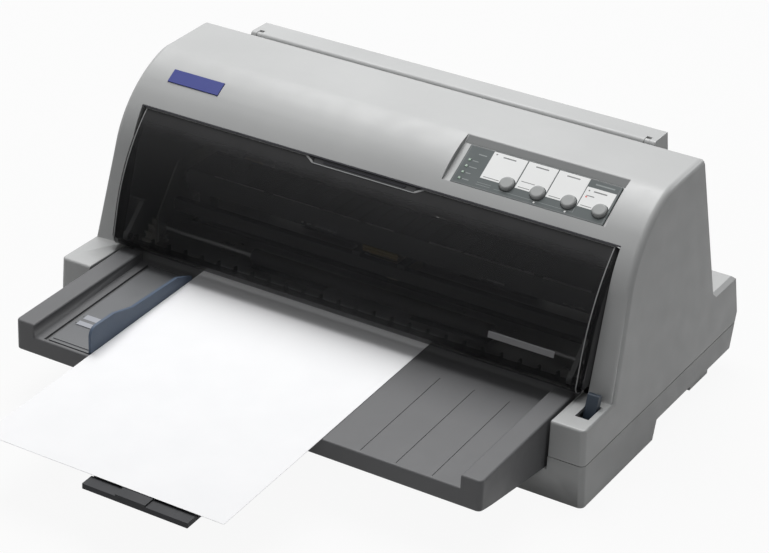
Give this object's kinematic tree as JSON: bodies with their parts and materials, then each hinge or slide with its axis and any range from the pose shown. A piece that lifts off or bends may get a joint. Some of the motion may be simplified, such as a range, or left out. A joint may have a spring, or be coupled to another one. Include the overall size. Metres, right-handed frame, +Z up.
{
  "type": "dot matrix printer",
  "caption": "Flat-bed dot matrix printer with a front paper tray, smoked front cover, push-button panel, release lever, hinged rear cover and working carriage and paper feed.",
  "frame": {"origin": "centre of the bounding box on the surface that the printer stands on, with the sheet support pulled out", "axes": "+X to the viewer's right when facing the front, front faces -Y, +Z up"},
  "size_m": [0.48, 0.5088, 0.21],
  "materials": {
    "case_grey": "fine-grained moulded plastic",
    "case_base": "fine-grained moulded plastic",
    "tray_grey": "ribbed moulded plastic",
    "guide_blue_grey": "moulded plastic",
    "smoked": "smoked transparent plastic",
    "label_white": "bare printed stripe",
    "badge_blue": "bare blue plate",
    "panel_dark": "printed film on plastic",
    "button_grey": "moulded plastic",
    "lamp_green": "translucent lamp lenses",
    "lever_blue_grey": "moulded plastic",
    "bracket_plastic": "nylon",
    "paper_white": "uncoated paper",
    "foot_rubber": "soft rubber",
    "sheet_steel": "zinc-plated sheet steel",
    "bright_steel": "ground and polished",
    "platen_black": "painted metal with a rubber face",
    "roller_rubber": "ground rubber sleeves",
    "gear_nylon": "nylon",
    "pinion_brass": "machined",
    "motor_dark": "black-painted steel can",
    "carriage_black": "black moulded plastic",
    "head_alloy": "finned die casting",
    "belt_rubber": "toothed belt",
    "ribbon_fabric": "inked nylon ribbon",
    "board_green": "fibreglass board with parts",
    "switch_black": "moulded plastic",
    "port_metal": "nickel-plated shell"
  },
  "bodies": {
    "casing": {"upper_case": "case_grey", "lower_case": "case_base", "foot_front_left": "foot_rubber", "foot_rear_left": "foot_rubber", "foot_front_right": "foot_rubber", "foot_rear_right": "foot_rubber", "front_tray": "tray_grey", "badge_plate": "badge_blue", "control_panel": "panel_dark", "panel_lamps": "lamp_green", "panel_board": "board_green", "lever_bracket": "bracket_plastic", "side_frame_right": "sheet_steel", "side_frame_left": "sheet_steel", "front_paper_guide": "sheet_steel", "rear_paper_guide": "sheet_steel", "platen_bar": "platen_black", "feed_motor": "motor_dark", "carriage_rod": "bright_steel", "front_rail": "sheet_steel", "timing_belt": "belt_rubber", "motor_bracket": "sheet_steel", "tension_bracket": "sheet_steel", "belt_motor": "motor_dark", "ribbon_cartridge": "carriage_black", "ribbon_band": "ribbon_fabric", "socket_plate": "sheet_steel", "power_inlet": "carriage_black", "parallel_port": "carriage_black", "usb_port": "port_metal", "rocker_frame": "carriage_black", "chassis_plate": "sheet_steel", "main_board": "board_green", "power_supply": "board_green"},
    "front_cover": {"front_cover": "smoked", "cover_label": "label_white"},
    "edge_guide": {"edge_guide": "guide_blue_grey"},
    "paper_sheet": {"paper_sheet": "paper_white"},
    "sheet_support": {"sheet_support": "lever_blue_grey"},
    "release_lever": {"release_lever": "lever_blue_grey"},
    "rear_cover": {"rear_cover": "case_grey"},
    "front_feed_roller": {"front_feed_roller": "roller_rubber", "front_roller_gear": "gear_nylon"},
    "rear_feed_roller": {"rear_feed_roller": "roller_rubber", "rear_roller_gear": "gear_nylon"},
    "front_pinch_roller": {"front_pinch_roller": "roller_rubber"},
    "rear_pinch_roller": {"rear_pinch_roller": "roller_rubber"},
    "idler_gear": {"idler_gear": "gear_nylon"},
    "motor_pinion": {"motor_pinion": "pinion_brass"},
    "carriage": {"carriage_block": "carriage_black", "print_head": "head_alloy"},
    "drive_pulley": {"drive_pulley": "pinion_brass"},
    "idler_pulley": {"idler_pulley": "bracket_plastic"},
    "ribbon_knob": {"ribbon_knob": "bracket_plastic"},
    "power_rocker": {"power_rocker": "switch_black"},
    "button_1": {"button_1": "button_grey"},
    "button_2": {"button_2": "button_grey"},
    "button_3": {"button_3": "button_grey"},
    "button_4": {"button_4": "button_grey"}
  },
  "joints": [
    {"name": "cover_hinge", "type": "hinge", "parent": "casing", "child": "front_cover", "pos_m": [0, 0.02365, 0.078], "axis": [1, 0, 0], "range_deg": [0, 75]},
    {"name": "edge_guide_slide", "type": "slide", "parent": "casing", "child": "edge_guide", "axis": [1, 0, 0], "range_m": [0, 0.044]},
    {"name": "paper_feed", "type": "slide", "parent": "edge_guide", "child": "paper_sheet", "axis": [0, 0.999, 0.0436], "range_m": [0, 0.15]},
    {"name": "sheet_support_slide", "type": "slide", "parent": "casing", "child": "sheet_support", "axis": [0, 0.999, 0.0436], "range_m": [0, 0.123]},
    {"name": "release_lever_swing", "type": "hinge", "parent": "casing", "child": "release_lever", "pos_m": [0.2255, 0.00865, 0.048], "axis": [1, 0, 0], "range_deg": [0, 35]},
    {"name": "rear_cover_hinge", "type": "hinge", "parent": "casing", "child": "rear_cover", "pos_m": [0, 0.17825, 0.2065], "axis": [1, 0, 0], "range_deg": [0, 75]},
    {"name": "front_roller_spin", "type": "hinge", "parent": "casing", "child": "front_feed_roller", "pos_m": [0, 0.07065, 0.05192], "axis": [1, 0, 0], "continuous": true},
    {"name": "rear_roller_spin", "type": "hinge", "parent": "casing", "child": "rear_feed_roller", "pos_m": [0, 0.15057, 0.05541], "axis": [1, 0, 0], "continuous": true},
    {"name": "front_pinch_spin", "type": "hinge", "parent": "casing", "child": "front_pinch_roller", "pos_m": [0, 0.07065, 0.06707], "axis": [1, 0, 0], "continuous": true},
    {"name": "rear_pinch_spin", "type": "hinge", "parent": "casing", "child": "rear_pinch_roller", "pos_m": [0, 0.15057, 0.07056], "axis": [1, 0, 0], "continuous": true},
    {"name": "idler_gear_spin", "type": "hinge", "parent": "casing", "child": "idler_gear", "pos_m": [-0.2, 0.11061, 0.05367], "axis": [1, 0, 0], "continuous": true},
    {"name": "motor_pinion_spin", "type": "hinge", "parent": "casing", "child": "motor_pinion", "pos_m": [-0.2, 0.08027, 0.02141], "axis": [1, 0, 0], "continuous": true},
    {"name": "carriage_slide", "type": "slide", "parent": "casing", "child": "carriage", "axis": [1, 0, 0], "range_m": [-0.125, 0.125]},
    {"name": "drive_pulley_spin", "type": "hinge", "parent": "casing", "child": "drive_pulley", "pos_m": [-0.17, 0.15865, 0.1], "axis": [0, 1, 0], "continuous": true},
    {"name": "idler_pulley_spin", "type": "hinge", "parent": "casing", "child": "idler_pulley", "pos_m": [0.17, 0.15865, 0.1], "axis": [0, 1, 0], "continuous": true},
    {"name": "ribbon_knob_turn", "type": "hinge", "parent": "casing", "child": "ribbon_knob", "pos_m": [-0.15, 0.10965, 0.118], "axis": [0, 0, 1], "continuous": true},
    {"name": "power_rocker_tilt", "type": "hinge", "parent": "casing", "child": "power_rocker", "pos_m": [-0.116, 0.23615, 0.052], "axis": [1, 0, 0], "range_deg": [0, 18]},
    {"name": "button_1_press", "type": "slide", "parent": "casing", "child": "button_1", "axis": [0, 0.503, -0.8643], "range_m": [0, 0.0015], "stiffness_N_per_m": 300},
    {"name": "button_2_press", "type": "slide", "parent": "casing", "child": "button_2", "axis": [0, 0.503, -0.8643], "range_m": [0, 0.0015], "stiffness_N_per_m": 300},
    {"name": "button_3_press", "type": "slide", "parent": "casing", "child": "button_3", "axis": [0, 0.503, -0.8643], "range_m": [0, 0.0015], "stiffness_N_per_m": 300},
    {"name": "button_4_press", "type": "slide", "parent": "casing", "child": "button_4", "axis": [0, 0.503, -0.8643], "range_m": [0, 0.0015], "stiffness_N_per_m": 300}
  ],
  "couplings": [
    {"joint": "rear_roller_spin", "follows": "front_roller_spin", "ratio": 1},
    {"joint": "idler_gear_spin", "follows": "front_roller_spin", "ratio": -1.5},
    {"joint": "motor_pinion_spin", "follows": "front_roller_spin", "ratio": -3},
    {"joint": "front_pinch_spin", "follows": "front_roller_spin", "ratio": -1.3333},
    {"joint": "rear_pinch_spin", "follows": "front_roller_spin", "ratio": -1.3333},
    {"joint": "drive_pulley_spin", "follows": "carriage_slide", "rad_per_m": -125},
    {"joint": "idler_pulley_spin", "follows": "carriage_slide", "rad_per_m": -125}
  ]
}
